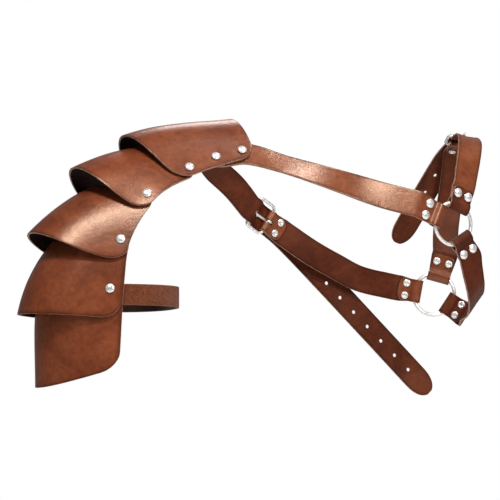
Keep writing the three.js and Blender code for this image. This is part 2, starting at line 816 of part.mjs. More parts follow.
// Soft band round the arm, held by the last lame rivets; reach is a share of band_reach.
{
  const rivet = lame_rivets[3];
  const inset = -1.8 * lame_gap - band_thickness / 2;
  const front = lamePoint(lame_rows[4], rivet.along, -rivet.across, inset);
  const rows = [
    { reach: -0.07, depth: 0.93 },
    { reach: 0, depth: 1 },
    { reach: 0.13, depth: 1.07 },
    { reach: 0.36, depth: 1.09 },
    { reach: 0.62, depth: 1 },
    { reach: 0.86, depth: 0.74 },
    { reach: 0.98, depth: 0.36 },
  ];
  const ring = [...rows, { reach: 1, depth: 0 }];
  for (const point of rows.slice().reverse()) ring.push({ reach: point.reach, depth: -point.depth });
  const points = ring.map((point) => v3(
    front.x + point.reach * band_reach,
    point.depth * front.y,
    front.z - band_drop - (band_tilt * (1 - point.depth)) / 2,
  ));
  const line = new THREE.CatmullRomCurve3(points);
  const stations = [];
  const total = 36;
  for (let i = 0; i <= total; i += 1) {
    const along = line.getTangent(i / total);
    const out = along.clone().cross(v3(0, 0, 1)).normalize();
    stations.push({ point: line.getPoint(i / total), out, half: band_height / 2 });
  }
  add('armband', 'cloth', bored(ribbon(stations, band_thickness), band_cuts));
}

export default pauldron;
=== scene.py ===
"""Looks of the leather pauldron: lames, straps, rings, buckles, rivets and arm band.

Lengths are millimetres until a mesh is made, in the frame of the CAD model.
"""
import math

import bmesh
import bpy
import numpy as np
from mathutils import Matrix, Vector, noise


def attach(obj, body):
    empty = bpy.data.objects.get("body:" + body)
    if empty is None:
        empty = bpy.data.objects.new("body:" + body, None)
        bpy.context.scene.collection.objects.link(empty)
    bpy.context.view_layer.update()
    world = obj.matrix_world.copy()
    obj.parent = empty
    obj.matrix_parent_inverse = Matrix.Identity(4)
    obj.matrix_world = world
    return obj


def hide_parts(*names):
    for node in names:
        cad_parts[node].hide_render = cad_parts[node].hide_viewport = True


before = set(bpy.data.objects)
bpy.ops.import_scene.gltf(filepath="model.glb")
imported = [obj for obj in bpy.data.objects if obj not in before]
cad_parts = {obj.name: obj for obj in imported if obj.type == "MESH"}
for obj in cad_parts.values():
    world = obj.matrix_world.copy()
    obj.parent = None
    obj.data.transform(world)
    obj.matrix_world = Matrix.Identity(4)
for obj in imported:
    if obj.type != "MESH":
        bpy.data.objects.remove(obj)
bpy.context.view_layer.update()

MM = 0.001

# Driving dimensions
lame_thickness = 2.4
lame_gap = 0.5
arm_reach = 160
armour_height = 290
half_depth = 68
flare = 21
corner_radius = 15
strap_width = 28
strap_thickness = 2.2
strap_gap = 0.3
fold_narrowing = 0.88
ring_radius = 22.4
ring_wire = 3.8
buckle_length = 22
buckle_side_room = 1.6
buckle_wire = 3.2
prong_wire = 2.8
rivet_cap = 9.8
rivet_dome = 2.2
rivet_shank = 3
rivet_spacing = 13.5
rivet_seat = 0.6
strap_room = 1.6
hole_diameter = 4
hole_pitch = 22
harness_span = 350
harness_fall = 270
harness_depth = 90
band_height = 22
band_thickness = 2.6
band_reach = 93
band_drop = 5.5
band_tilt = 3
rivet_setback = 13.6
flap_length = 8
tip_length = 26
side_tip_room = 35
top_tip_room = 65
buckle_corner = 5
prong_slot = 14
under_bend = 4
half_strap = strap_width / 2

# Detail
strap_step = 1.6
strap_columns = 11
lame_rows_along = 44
lame_columns = 35
edge_round = 0.55
crisp_angle = 50
dimple_depth = 0.5
dimple_reach = 7
lame_wave = 0.2
lame_wave_pitch = 0.03
strap_wave = 0.12
strap_wave_pitch = 0.045
punch_depth = 9
slot_room = 1.4
slot_forward = 1.5
prong_room = 1
prong_hole_length = 9
prong_hole_setback = 7
box_cut_depth = 14
ring_steps = 96
rivet_sides = 36


def vec(*values):
    return np.array(values, float)


def unit(v):
    return v / np.linalg.norm(v)


def square_to(v, along):
    return unit(v - along * np.dot(v, along))


# Curves

def hermite(start, end, start_slope, end_slope, part):
    a = 2 * start - 2 * end + start_slope + end_slope
    b = 3 * end - 3 * start - 2 * start_slope - end_slope
    return ((a * part + b) * part + start_slope) * part + start


def neighbours(points, i):
    first = points[i - 1] if i > 0 else 2 * points[0] - points[1]
    last = points[i + 2] if i + 2 < len(points) else 2 * points[-1] - points[-2]
    return first, points[i], points[i + 1], last


def even_curve(points, share):
    """A smooth curve through evenly counted points."""
    place_along = share * (len(points) - 1)
    i = min(int(place_along), len(points) - 2)
    p0, p1, p2, p3 = neighbours(points, i)
    return hermite(p1, p2, (p2 - p0) / 2, (p3 - p1) / 2, place_along - i)


def spaced_curve(points, share):
    """A smooth curve through points at unlike distances, without overshoot."""
    place_along = share * (len(points) - 1)
    i = min(int(place_along), len(points) - 2)
    p0, p1, p2, p3 = neighbours(points, i)
    d1 = max(np.linalg.norm(p2 - p1) ** 0.5, 1e-3)
    d0 = max(np.linalg.norm(p1 - p0) ** 0.5, 1e-3)
    d2 = max(np.linalg.norm(p3 - p2) ** 0.5, 1e-3)
    start_slope = ((p1 - p0) / d0 - (p2 - p0) / (d0 + d1) + (p2 - p1) / d1) * d1
    end_slope = ((p2 - p1) / d1 - (p3 - p1) / (d1 + d2) + (p3 - p2) / d2) * d1
    return hermite(p1, p2, start_slope, end_slope, place_along - i)


# The hidden form that the lames follow

form_columns = ("crown_x", "crown_z", "hem_x", "hem_z", "depth")
form_rows = [dict(zip(form_columns, row)) for row in (
    (0.373, 0.017, 0.388, -0.124, 0.85),
    (-0.197, -0.088, 0.004, -0.196, 0.81),
    (-0.598, -0.240, -0.298, -0.283, 0.83),
    (-0.874, -0.442, -0.494, -0.430, 0.85),
    (-0.981, -0.662, -0.556, -0.595, 0.89),
    (-0.950, -0.964, -0.588, -0.896, 0.89),
)]
lame_fields = ("start", "crown_end", "hem_end", "flare")
lames = [dict(zip(lame_fields, row)) for row in (
    (0, 1.26, 1.44, 0.82),
    (1, 2.05, 2.45, 1.14),
    (2, 3.06, 3.62, 1.06),
    (3, 4.15, 4.46, 0.73),
    (3.9, 5, 5, 0),
)]
form_length = len(form_rows) - 1
crown_points = [vec(r["crown_x"] * arm_reach, 0, r["crown_z"] * armour_height) for r in form_rows]
hem_points = [
    vec(r["hem_x"] * arm_reach, r["depth"] * half_depth, r["hem_z"] * armour_height)
    for r in form_rows
]


def smallest_overlap():
    shares = []
    for outer, inner in zip(lames, lames[1:]):
        shares.append((inner["start"] - outer["start"]) / (outer["hem_end"] - outer["start"]))
        past = (outer["hem_end"] - inner["start"]) / (inner["hem_end"] - inner["start"])
        shares.append(1 - past)
    return min(shares)


hem_lift = (lame_thickness + lame_gap) / smallest_overlap()


def form_point(along, across):
    share = min(max(along / form_length, 0), 1)
    crown = even_curve(crown_points, share)
    hem = even_curve(hem_points, share)
    drop = across * across
    return vec(
        crown[0] + (hem[0] - crown[0]) * drop,
        hem[1] * across,
        crown[2] + (hem[2] - crown[2]) * drop,
    )


def form_normal(along, across):
    step = 0.01
    low = max(along - step, 0)
    high = min(along + step, form_length)
    down = form_point(high, across) - form_point(low, across)
    side = form_point(along, across + step) - form_point(along, across - step)
    return unit(np.cross(side, down))


def lame_end(lame, across):
    return lame["crown_end"] + (lame["hem_end"] - lame["crown_end"]) * across * across


def lame_lift(lame, along, across):
    share = (along - lame["start"]) / (lame_end(lame, across) - lame["start"])
    crown = max(1 - across * across, 0) ** 2.2
    return max(share, 0) * (hem_lift + flare * lame["flare"] * crown)


def lame_point(lame, along, across, height):
    lift = lame_lift(lame, along, across) + height
    return form_point(along, across) + form_normal(along, across) * lift


def lame_normal(lame, along, across):
    step = 0.02
    down = lame_point(lame, along + step, across, 0) - lame_point(lame, along - step, across, 0)
    side = lame_point(lame, along, across + step, 0) - lame_point(lame, along, across - step, 0)
    return unit(np.cross(side, down))


# Straps: a station is (point, way its outer face looks, half width)

def place(span, depth, fall):
    return vec(span * harness_span, depth * harness_depth, fall * harness_fall)


def row(span, depth, fall, x, y, z):
    return place(span, depth, fall), unit(vec(x, y, z)), half_strap


def under_lame(along, across):
    point = lame_point(lames[0], along, across, -strap_room - strap_thickness / 2)
    return point, form_normal(along, across), half_strap


def ring_frame(span, depth, fall, x, y):
    out = unit(vec(x, y, 0))
    right = unit(np.cross(vec(0, 0, 1), out))
    up = unit(np.cross(out, right))
    return {"centre": place(span, depth, fall), "out": out, "right": right, "up": up}


def fold(start, pull, out, inner, outer, rivet, wire_radius, flap_side=1):
    """Stations of a strap end folded round a wire, with the places of its two rivets.

    flap_side is 1 when the flap lies on the inner side and -1 when it lies on the outer side.
    """
    side = flap_side * (strap_thickness + strap_gap) / 2
    loop = flap_side * (wire_radius + strap_gap + strap_thickness / 2)
    half = half_strap * fold_narrowing
    across = np.cross(pull, out)

    def at(along, height, half_width, tilt):
        facing = out * math.cos(tilt) - pull * (flap_side * math.sin(tilt))
        return start + pull * along + out * height, facing, half_width

    close = outer + flap_length * 0.375
    stations = [
        at(rivet + flap_length, -side, half * 0.5, math.pi),
        at(rivet + flap_length * 0.9, -side, half * 0.76, math.pi),
        at(rivet + flap_length * 0.7, -side, half * 0.93, math.pi),
        at(rivet + flap_length * 0.375, -side, half, math.pi),
        at(close, -side, half, math.pi),
        at(outer, -loop, half, math.pi),
    ]
    for i in range(5):
        angle = math.pi - math.pi * i / 4
        round_wire = inner - abs(loop) * math.sin(angle)
        stations.append(at(round_wire, loop * math.cos(angle), half, angle))
    stations.append(at(outer, loop, half, 0))
    stations.append(at(close, side, half, 0))
    stations.append(at(rivet + flap_length * 0.75, side, half_strap, 0))
    foot = start + pull * rivet - out * (abs(side) + strap_thickness / 2)
    rivets = [(foot + across * (sign * rivet_spacing / 2), out) for sign in (-1, 1)]
    lead = at(rivet + flap_length * 1.5, side, half_strap, 0)
    return {"stations": stations, "rivets": rivets, "lead": lead, "pull": pull}


def corner_bend(end, arriving, radius):
    """Stations of a strap that comes along a way square to a fold's pull and bends into it."""
    leaving = -end["pull"]
    corner = end["stations"][-1][0] + end["pull"] * (radius + 0.6)
    middle = corner - arriving * radius + leaving * radius
    stations = []
    for step in range(5):
        turn = step * math.pi / 8
        out = arriving * math.sin(turn) - leaving * math.cos(turn)
        stations.append((middle + out * radius, out, half_strap))
    return stations


def ring_fold(ring, degrees, setback, flap_side=1):
    """A fold on a ring: degrees is its place round the ring, setback a share of rivet_setback."""
    turn = math.radians(degrees)
    pull = ring["right"] * math.cos(turn) + ring["up"] * math.sin(turn)
    inside = ring_radius - ring_wire / 2
    half = half_strap * fold_narrowing
    edge = math.sqrt(inside ** 2 - half ** 2) + ring_wire / 2 - strap_gap / 2
    return fold(ring["centre"], pull, ring["out"], edge, ring_radius + 1,
                ring_radius + rivet_setback * setback, ring_wire / 2, flap_side)


bar = buckle_wire / 2
prong_height = bar + strap_gap + prong_wire / 2


def buckle_at(heel, front, face):
    along = unit(front - heel)
    out = square_to(face, along)
    return {"heel": heel, "along": along, "out": out, "across": np.cross(along, out)}


def on_buckle(buckle, forward, height, sideways=0):
    return (buckle["heel"] + buckle["along"] * forward + buckle["out"] * height
            + buckle["across"] * sideways)


def buckle_fold(buckle):
    return fold(buckle["heel"], -buckle["along"], buckle["out"], 0, 1,
                rivet_setback * 0.956, bar)


def through_buckle(buckle):
    under = bar + strap_gap + strap_thickness / 2
    over = prong_height + prong_wire / 2 + 2 * strap_gap + strap_thickness / 2
    # Forward from the heel, height over the frame's middle, lean in degrees
    steps = (
        (buckle_length + 6, -under, 0),
        (buckle_length, -under, 10),
        (buckle_length - 2.6, -under * 0.72, 40),
        (buckle_length - 5.5, over * 0.15, 50),
        (buckle_length - 8.5, over * 0.68, 45),
        (buckle_length - 12, over * 0.95, 18),
        (5, over + 0.1, 0),
        (-2, over + 0.2, 0),
        (-13, over + 1, 0),
    )
    stations = []
    for forward, height, lean in steps:
        turn = math.radians(lean)
        facing = buckle["out"] * math.cos(turn) + buckle["along"] * math.sin(turn)
        stations.append((on_buckle(buckle, forward, height), facing, half_strap))
    return stations


def route(rows, steps):
    """Stations along a smooth line through rows."""
    points = [r[0] for r in rows]
    facings = [r[1] for r in rows]
    total = (len(rows) - 1) * steps
    stations = []
    for i in range(total + 1):
        share = i / total
        ahead = spaced_curve(points, min(share + 1e-4, 1))
        behind = spaced_curve(points, max(share - 1e-4, 0))
        out = square_to(spaced_curve(facings, share), unit(ahead - behind))
        k = min(i // steps, len(rows) - 2)
        part = i / steps - k
        half = rows[k][2] * (1 - part) + rows[k + 1][2] * part
        stations.append((spaced_curve(points, share), out, half))
    return stations


def pointed(stations, end, length):
    """A strap's free end: the last stations narrow to a rounded point."""
    start = stations[-1][0]
    total = np.linalg.norm(end - start)
    along = unit(end - start)
    out = square_to(stations[-1][1], along)
    for i in range(13):
        part = math.sin(math.pi / 2 * i / 12)
        half = half_strap * math.sqrt(max(1 - (part * 0.98) ** 2.6, 0))
        stations.append((start + along * (total - length * (1 - part)), out, half))
    return {"from": start, "along": along, "out": out, "total": total}


def hole_places(end, tip_room, count):
    far = [end["total"] - tip_room - hole_pitch * i for i in range(count)]
    return [(end["from"] + end["along"] * f, end["out"]) for f in far]


# Meshes

def linked(name, data):
    made = bpy.data.objects.new(name, data)
    bpy.context.scene.collection.objects.link(made)
    return made


def object_from(name, points, faces, slots, materials, grain=None):
    """A smooth object from points in millimetres; grain gives each point its place on the sheet."""
    mesh = bpy.data.meshes.new(name)
    mesh.from_pydata([tuple(p * MM) for p in points], [], faces)
    for material in materials:
        mesh.materials.append(material)
    if slots:
        mesh.polygons.foreach_set("material_index", slots)
    if grain is not None:
        layer = mesh.uv_layers.new(name="grain")
        corners = np.empty(len(mesh.loops), int)
        mesh.loops.foreach_get("vertex_index", corners)
        layer.data.foreach_set("uv", (np.array(grain) * MM)[corners].ravel())
    mesh.shade_smooth()
    return linked(name, mesh)


def apply_modifiers(made):
    bpy.context.view_layer.update()
    depsgraph = bpy.context.evaluated_depsgraph_get()
    mesh = bpy.data.meshes.new_from_object(made.evaluated_get(depsgraph))
    made.modifiers.clear()
    made.data = mesh


def faces_outward(made):
    work = bmesh.new()
    work.from_mesh(made.data)
    bmesh.ops.recalc_face_normals(work, faces=work.faces)
    work.to_mesh(made.data)
    work.free()


def sheet(name, rows, columns, point, grain, materials):
    """A thin leather sheet on a grid; point(row, column, side) gives corners, side 1 is outside."""
    points, marks, faces, slots = [], [], [], []

    def at(r, c, side):
        return (r * columns + c) * 2 + side

    for r in range(rows):
        for c in range(columns):
            for side in (0, 1):
                points.append(point(r, c, side))
                marks.append(grain(r, c))
    for r in range(rows - 1):
        for c in range(columns - 1):
            faces.append((at(r, c, 0), at(r, c + 1, 0), at(r + 1, c + 1, 0), at(r + 1, c, 0)))
            faces.append((at(r, c, 1), at(r + 1, c, 1), at(r + 1, c + 1, 1), at(r, c + 1, 1)))
            slots += [1, 0]
    last = columns - 1
    for r in range(rows - 1):
        faces.append((at(r, 0, 0), at(r + 1, 0, 0), at(r + 1, 0, 1), at(r, 0, 1)))
        faces.append((at(r, last, 0), at(r, last, 1), at(r + 1, last, 1), at(r + 1, last, 0)))
        slots += [2, 2]
    last = rows - 1
    for c in range(columns - 1):
        faces.append((at(0, c, 0), at(0, c, 1), at(0, c + 1, 1), at(0, c + 1, 0)))
        faces.append((at(last, c, 0), at(last, c + 1, 0), at(last, c + 1, 1), at(last, c, 1)))
        slots += [2, 2]
    made = object_from(name, points, faces, slots, materials, marks)
    faces_outward(made)
    return made


def rounded(made):
    """Rounds the cut edges and gives the rounding the rim's material."""
    bevel = made.modifiers.new("edge", "BEVEL")
    bevel.width = edge_round * MM
    bevel.segments = 2
    bevel.limit_method = "ANGLE"
    bevel.angle_limit = math.radians(crisp_angle)
    bevel.material = 2
    apply_modifiers(made)


def cut_out(made, punch, name, use_self):
    """Takes the punch's shape out of a piece; the cut faces keep the punch's material."""
    cut = made.modifiers.new(name, "BOOLEAN")
    cut.object = punch
    cut.solver = "EXACT"
    cut.use_self = use_self
    cut.material_mode = "TRANSFER"
    apply_modifiers(made)
    bpy.data.objects.remove(punch)


def punched(made, holes, material):
    """Cuts round holes, each a (place, axis) in millimetres."""
    if not holes:
        return
    work = bmesh.new()
    for spot, axis in holes:
        turn = Vector((0, 0, 1)).rotation_difference(Vector(axis)).to_matrix().to_4x4()
        where = Matrix.Translation(Vector(spot) * MM) @ turn
        radius = hole_diameter / 2 * MM
        bmesh.ops.create_cone(work, cap_ends=True, segments=24, radius1=radius,
                              radius2=radius, depth=punch_depth * MM, matrix=where)
    mesh = bpy.data.meshes.new("punch")
    work.to_mesh(mesh)
    work.free()
    mesh.materials.append(material)
    cut_out(made, linked("punch", mesh), "holes", False)


def box_cut(made, buckle, reach, width, forward, material):
    """Cuts a box round a buckle's prong: the slot, or the hole that the prong goes through."""
    points = []
    for f in (forward - reach / 2, forward + reach / 2):
        for w in (-width / 2, width / 2):
            for h in (-box_cut_depth / 2, box_cut_depth / 2):
                points.append(on_buckle(buckle, f, h, w))
    faces = [(0, 1, 3, 2), (4, 6, 7, 5), (0, 4, 5, 1), (2, 3, 7, 6), (0, 2, 6, 4), (1, 5, 7, 3)]
    punch = object_from("punch", points, faces, None, [material])
    faces_outward(punch)
    cut_out(made, punch, "slot", True)


def sharpen(made):
    """Keeps the edges crisp where the faces meet at more than crisp_angle."""
    work = bmesh.new()
    work.from_mesh(made.data)
    for edge in work.edges:
        if len(edge.link_faces) == 2 and edge.calc_face_angle(0) > math.radians(crisp_angle):
            edge.smooth = False
    work.to_mesh(made.data)
    work.free()


def finish_piece(made, node):
    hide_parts(node)
    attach(made, "root")


def even_stations(stations):
    """The same strap with stations at an even small step, smooth through folds."""
    points = [s[0] for s in stations]
    kept = []
    for i in range(len(points) - 1):
        count = max(1, round(np.linalg.norm(points[i + 1] - points[i]) / strap_step))
        kept += [(i + k / count) / (len(points) - 1) for k in range(count)]
    kept.append(1)
    made = []
    for share in kept:
        spot = share * (len(points) - 1)
        i = min(int(spot), len(points) - 2)
        part = spot - i
        ahead = spaced_curve(points, min(share + 1e-3 / len(points), 1))
        behind = spaced_curve(points, max(share - 1e-3 / len(points), 0))
        facing = stations[i][1] * (1 - part) + stations[i + 1][1] * part
        half = stations[i][2] * (1 - part) + stations[i + 1][2] * part
        along = unit(ahead - behind)
        made.append((spaced_curve(points, share), square_to(facing, along), half, along))
    return made


def strap(name, stations, thickness, materials, holes=(),
          slot_at=None, prong_through=None):
    """A strap along its stations, punched, and cut for a buckle that it holds or goes through."""
    fine = even_stations(stations)
    run = np.cumsum([0] + [np.linalg.norm(b[0] - a[0]) for a, b in zip(fine, fine[1:])])
    sides = [(c / (strap_columns - 1)) * 2 - 1 for c in range(strap_columns)]
    spread = [math.copysign(1 - (1 - abs(s)) ** 1.25, s) for s in sides]

    def point(r, c, side):
        centre, out, half, along = fine[r]
        across = np.cross(along, out)
        spot = centre + across * (half * spread[c])
        wave = noise.noise(Vector(spot) * strap_wave_pitch) * strap_wave
        return spot + out * (thickness * (side - 0.5) + wave)

    def grain(r, c):
        return run[r], fine[r][2] * (1 - abs(spread[c]))

    made = sheet(name, len(fine), strap_columns, point, grain, materials)
    rounded(made)
    punched(made, holes, materials[2])
    if slot_at:
        box_cut(made, slot_at, prong_slot, prong_wire + slot_room, slot_forward, materials[2])
    if prong_through:
        box_cut(made, prong_through, prong_hole_length, prong_wire + prong_room,
                buckle_length - prong_hole_setback, materials[2])
    sharpen(made)
    finish_piece(made, name)


def tube(name, points, diameter, closed, material):
    """A round wire along points."""
    curve = bpy.data.curves.new(name, "CURVE")
    curve.dimensions = "3D"
    curve.bevel_depth = diameter / 2 * MM
    curve.bevel_resolution = 4
    curve.use_fill_caps = True
    spline = curve.splines.new("POLY")
    spline.points.add(len(points) - 1)
    for target, point in zip(spline.points, points):
        target.co = (*(point * MM), 1)
    spline.use_cyclic_u = closed
    shaped = linked(name, curve)
    bpy.context.view_layer.update()
    depsgraph = bpy.context.evaluated_depsgraph_get()
    mesh = bpy.data.meshes.new_from_object(shaped.evaluated_get(depsgraph))
    bpy.data.objects.remove(shaped)
    mesh.materials.clear()
    mesh.materials.append(material)
    mesh.shade_smooth()
    finish_piece(linked(name, mesh), name)


def rivet(name, foot, axis, grip, material):
    """A two-cap rivet: foot is its place on the inner face, grip the leather between the caps."""
    low = -strap_gap / 2
    high = grip + strap_gap / 2
    cap = rivet_cap / 2
    shank = rivet_shank / 2
    # Radius and height, from the hollow back cap over the shank to the domed front cap
    profile = [
        (0.01, low - 0.2), (cap * 0.26, low - 0.22), (cap * 0.34, low - 0.9),
        (cap * 0.46, low - 1.1),
        (cap * 0.62, low - 1.05), (cap * 0.78, low - 0.75), (cap * 0.82, low - 0.35),
        (cap * 0.8, low), (shank, low), (shank, high), (cap * 0.96, high), (cap, high + 0.3),
        (cap * 0.985, high + 0.62), (cap * 0.9, high + 1.05), (cap * 0.7, high + 1.62),
        (cap * 0.42, high + 2.0), (cap * 0.2, high + 2.12), (0.01, high + rivet_dome - 0.05),
    ]
    turn = Vector((0, 0, 1)).rotation_difference(Vector(axis)).to_matrix()
    sides = rivet_sides
    points, faces = [], []
    for radius, height in profile:
        for k in range(sides):
            angle = 2 * math.pi * k / sides
            spot = Vector((radius * math.cos(angle), radius * math.sin(angle), height))
            points.append(vec(*(turn @ spot)) + foot)
    for r in range(len(profile) - 1):
        for k in range(sides):
            after = (k + 1) % sides
            lower, upper = r * sides, (r + 1) * sides
            faces.append((lower + k, lower + after, upper + after, upper + k))
    faces.append(tuple(reversed(range(sides))))
    faces.append(tuple(range((len(profile) - 1) * sides, len(profile) * sides)))
    made = object_from(name, points, faces, None, [material])
    sharpen(made)
    finish_piece(made, name)


# Materials

def new_material(name):
    material = bpy.data.materials.new(name)
    material.use_nodes = True
    nodes = material.node_tree.nodes
    shader = nodes["Principled BSDF"]
    return material, nodes, material.node_tree.links, shader


def add_node(nodes, kind, **settings):
    node = nodes.new(kind)
    for key, value in settings.items():
        if key in node.inputs:
            node.inputs[key].default_value = value
        else:
            setattr(node, key, value)
    return node


def ramp(nodes, stops):
    node = nodes.new("ShaderNodeValToRGB")
    elements = node.color_ramp.elements
    while len(elements) < len(stops):
        elements.new(0.5)
    for element, (position, colour) in zip(elements, stops):
        element.position = position
        element.color = (*colour, 1)
    return node


def mixed(nodes, links, blend, amount, first, second):
    node = nodes.new("ShaderNodeMix")
    node.data_type = "RGBA"
    node.blend_type = blend
    sockets = (node.inputs[0], node.inputs[6], node.inputs[7])
    for socket, value in zip(sockets, (amount, first, second)):
        if isinstance(value, bpy.types.NodeSocket):
            links.new(value, socket)
        elif isinstance(value, tuple):
            socket.default_value = (*value, 1)
        else:
            socket.default_value = value
    return node.outputs[2]


def leather_face(name, dark, base, light, shine, gloss=0.5):
    """Pulled-up waxed leather: fine grain, cloudy lighter pull-up, dark pores and soft gloss."""
    material, nodes, links, shader = new_material(name)
    place_node = nodes.new("ShaderNodeTexCoord")
    where = place_node.outputs["Object"]

    cloud = add_node(nodes, "ShaderNodeTexNoise", Scale=26.0, Detail=5.0, Roughness=0.6)
    cloud.inputs["Distortion"].default_value = 0.6
    links.new(where, cloud.inputs["Vector"])
    tone = ramp(nodes, [(0.32, dark), (0.52, base), (0.74, light)])
    links.new(cloud.outputs["Fac"], tone.inputs["Fac"])

    mottle = add_node(nodes, "ShaderNodeTexNoise", Scale=190.0, Detail=4.0, Roughness=0.7)
    links.new(where, mottle.inputs["Vector"])
    speckle = ramp(nodes, [(0.34, (0.62, 0.56, 0.52)), (0.6, (1.12, 1.1, 1.08))])
    links.new(mottle.outputs["Fac"], speckle.inputs["Fac"])
    colour = mixed(nodes, links, "MULTIPLY", 0.55, tone.outputs["Color"], speckle.outputs["Color"])

    pores = add_node(nodes, "ShaderNodeTexVoronoi", Scale=1100.0)
    pores.feature = "DISTANCE_TO_EDGE"
    links.new(where, pores.inputs["Vector"])
    crease = ramp(nodes, [(0.0, (0.45, 0.42, 0.4)), (0.12, (1, 1, 1))])
    links.new(pores.outputs["Distance"], crease.inputs["Fac"])
    colour = mixed(nodes, links, "MULTIPLY", 0.35, colour, crease.outputs["Color"])

    spot = nodes.new("ShaderNodeUVMap")
    spot.uv_map = "grain"
    parts = nodes.new("ShaderNodeSeparateXYZ")
    links.new(spot.outputs["UV"], parts.inputs["Vector"])
    near = nodes.new("ShaderNodeMapRange")
    near.inputs["From Min"].default_value = 0.0008
    near.inputs["From Max"].default_value = 0.0045
    links.new(parts.outputs["Y"], near.inputs["Value"])
    burnish = ramp(nodes, [(0.0, (0.5, 0.42, 0.38)), (0.55, (0.9, 0.88, 0.86)), (1.0, (1, 1, 1))])
    links.new(near.outputs["Result"], burnish.inputs["Fac"])
    colour = mixed(nodes, links, "MULTIPLY", 1.0, colour, burnish.outputs["Color"])
    links.new(colour, shader.inputs["Base Color"])

    rough = nodes.new("ShaderNodeMapRange")
    rough.inputs["To Min"].default_value = shine
    rough.inputs["To Max"].default_value = shine + 0.14
    links.new(mottle.outputs["Fac"], rough.inputs["Value"])
    links.new(rough.outputs["Result"], shader.inputs["Roughness"])
    shader.inputs["Specular IOR Level"].default_value = gloss
    shader.inputs["Specular Tint"].default_value = (1.0, 0.7, 0.5, 1)

    small = add_node(nodes, "ShaderNodeBump", Strength=0.14, Distance=0.0003)
    links.new(pores.outputs["Distance"], small.inputs["Height"])
    large = add_node(nodes, "ShaderNodeBump", Strength=0.24, Distance=0.0009)
    links.new(mottle.outputs["Fac"], large.inputs["Height"])
    links.new(small.outputs["Normal"], large.inputs["Normal"])
    links.new(large.outputs["Normal"], shader.inputs["Normal"])
    return material


def flesh_face(name, dark, light):
    """The rough inner side: short fibres, no gloss."""
    material, nodes, links, shader = new_material(name)
    where = nodes.new("ShaderNodeTexCoord").outputs["Object"]
    fibres = add_node(nodes, "ShaderNodeTexNoise", Scale=420.0, Detail=6.0, Roughness=0.75)
    links.new(where, fibres.inputs["Vector"])
    tone = ramp(nodes, [(0.3, dark), (0.75, light)])
    links.new(fibres.outputs["Fac"], tone.inputs["Fac"])
    links.new(tone.outputs["Color"], shader.inputs["Base Color"])
    shader.inputs["Roughness"].default_value = 0.85
    shader.inputs["Specular IOR Level"].default_value = 0.1
    bump = add_node(nodes, "ShaderNodeBump", Strength=0.5, Distance=0.0006)
    links.new(fibres.outputs["Fac"], bump.inputs["Height"])
    links.new(bump.outputs["Normal"], shader.inputs["Normal"])
    return material


def cut_edge(name, dark, light):
    """The burnished cut edge, lighter than the faces and layered along the sheet."""
    material, nodes, links, shader = new_material(name)
    where = nodes.new("ShaderNodeTexCoord").outputs["Object"]
    layers = add_node(nodes, "ShaderNodeTexNoise", Scale=240.0, Detail=4.0, Roughness=0.6)
    links.new(where, layers.inputs["Vector"])
    tone = ramp(nodes, [(0.35, dark), (0.65, light)])
    links.new(layers.outputs["Fac"], tone.inputs["Fac"])
    links.new(tone.outputs["Color"], shader.inputs["Base Color"])
    shader.inputs["Roughness"].default_value = 0.5
    bump = add_node(nodes, "ShaderNodeBump", Strength=0.3, Distance=0.0004)
    links.new(layers.outputs["Fac"], bump.inputs["Height"])
    links.new(bump.outputs["Normal"], shader.inputs["Normal"])
    return material


def plated_steel(name):
    """Nickel plate with soft hammer unevenness."""
    material, nodes, links, shader = new_material(name)
    where = nodes.new("ShaderNodeTexCoord").outputs["Object"]
    wear = add_node(nodes, "ShaderNodeTexNoise", Scale=260.0, Detail=3.0, Roughness=0.55)
    links.new(where, wear.inputs["Vector"])
    tone = ramp(nodes, [(0.3, (0.78, 0.74, 0.71)), (0.6, (0.95, 0.92, 0.9))])
    links.new(wear.outputs["Fac"], tone.inputs["Fac"])
    links.new(tone.outputs["Color"], shader.inputs["Base Color"])
    shader.inputs["Metallic"].default_value = 0.7
    rough = nodes.new("ShaderNodeMapRange")
    rough.inputs["To Min"].default_value = 0.2
    rough.inputs["To Max"].default_value = 0.38
    links.new(wear.outputs["Fac"], rough.inputs["Value"])
    links.new(rough.outputs["Result"], shader.inputs["Roughness"])
    bump = add_node(nodes, "ShaderNodeBump", Strength=0.25, Distance=0.0006)
    links.new(wear.outputs["Fac"], bump.inputs["Height"])
    links.new(bump.outputs["Normal"], shader.inputs["Normal"])
    return material


def loop_cloth(name, dark, light):
    """Short curly loops of a hook-and-loop band."""
    material, nodes, links, shader = new_material(name)
    where = nodes.new("ShaderNodeTexCoord").outputs["Object"]
    curls = add_node(nodes, "ShaderNodeTexNoise", Scale=330.0, Detail=5.0, Roughness=0.75)
    curls.inputs["Distortion"].default_value = 2.2
    links.new(where, curls.inputs["Vector"])
    tone = ramp(nodes, [(0.36, dark), (0.66, light)])
    links.new(curls.outputs["Fac"], tone.inputs["Fac"])
    links.new(tone.outputs["Color"], shader.inputs["Base Color"])
    shader.inputs["Roughness"].default_value = 0.95
    shader.inputs["Sheen Weight"].default_value = 0.1
    shader.inputs["Specular IOR Level"].default_value = 0.15
    bump = add_node(nodes, "ShaderNodeBump", Strength=0.8, Distance=0.0012)
    links.new(curls.outputs["Fac"], bump.inputs["Height"])
    links.new(bump.outputs["Normal"], shader.inputs["Normal"])
    return material


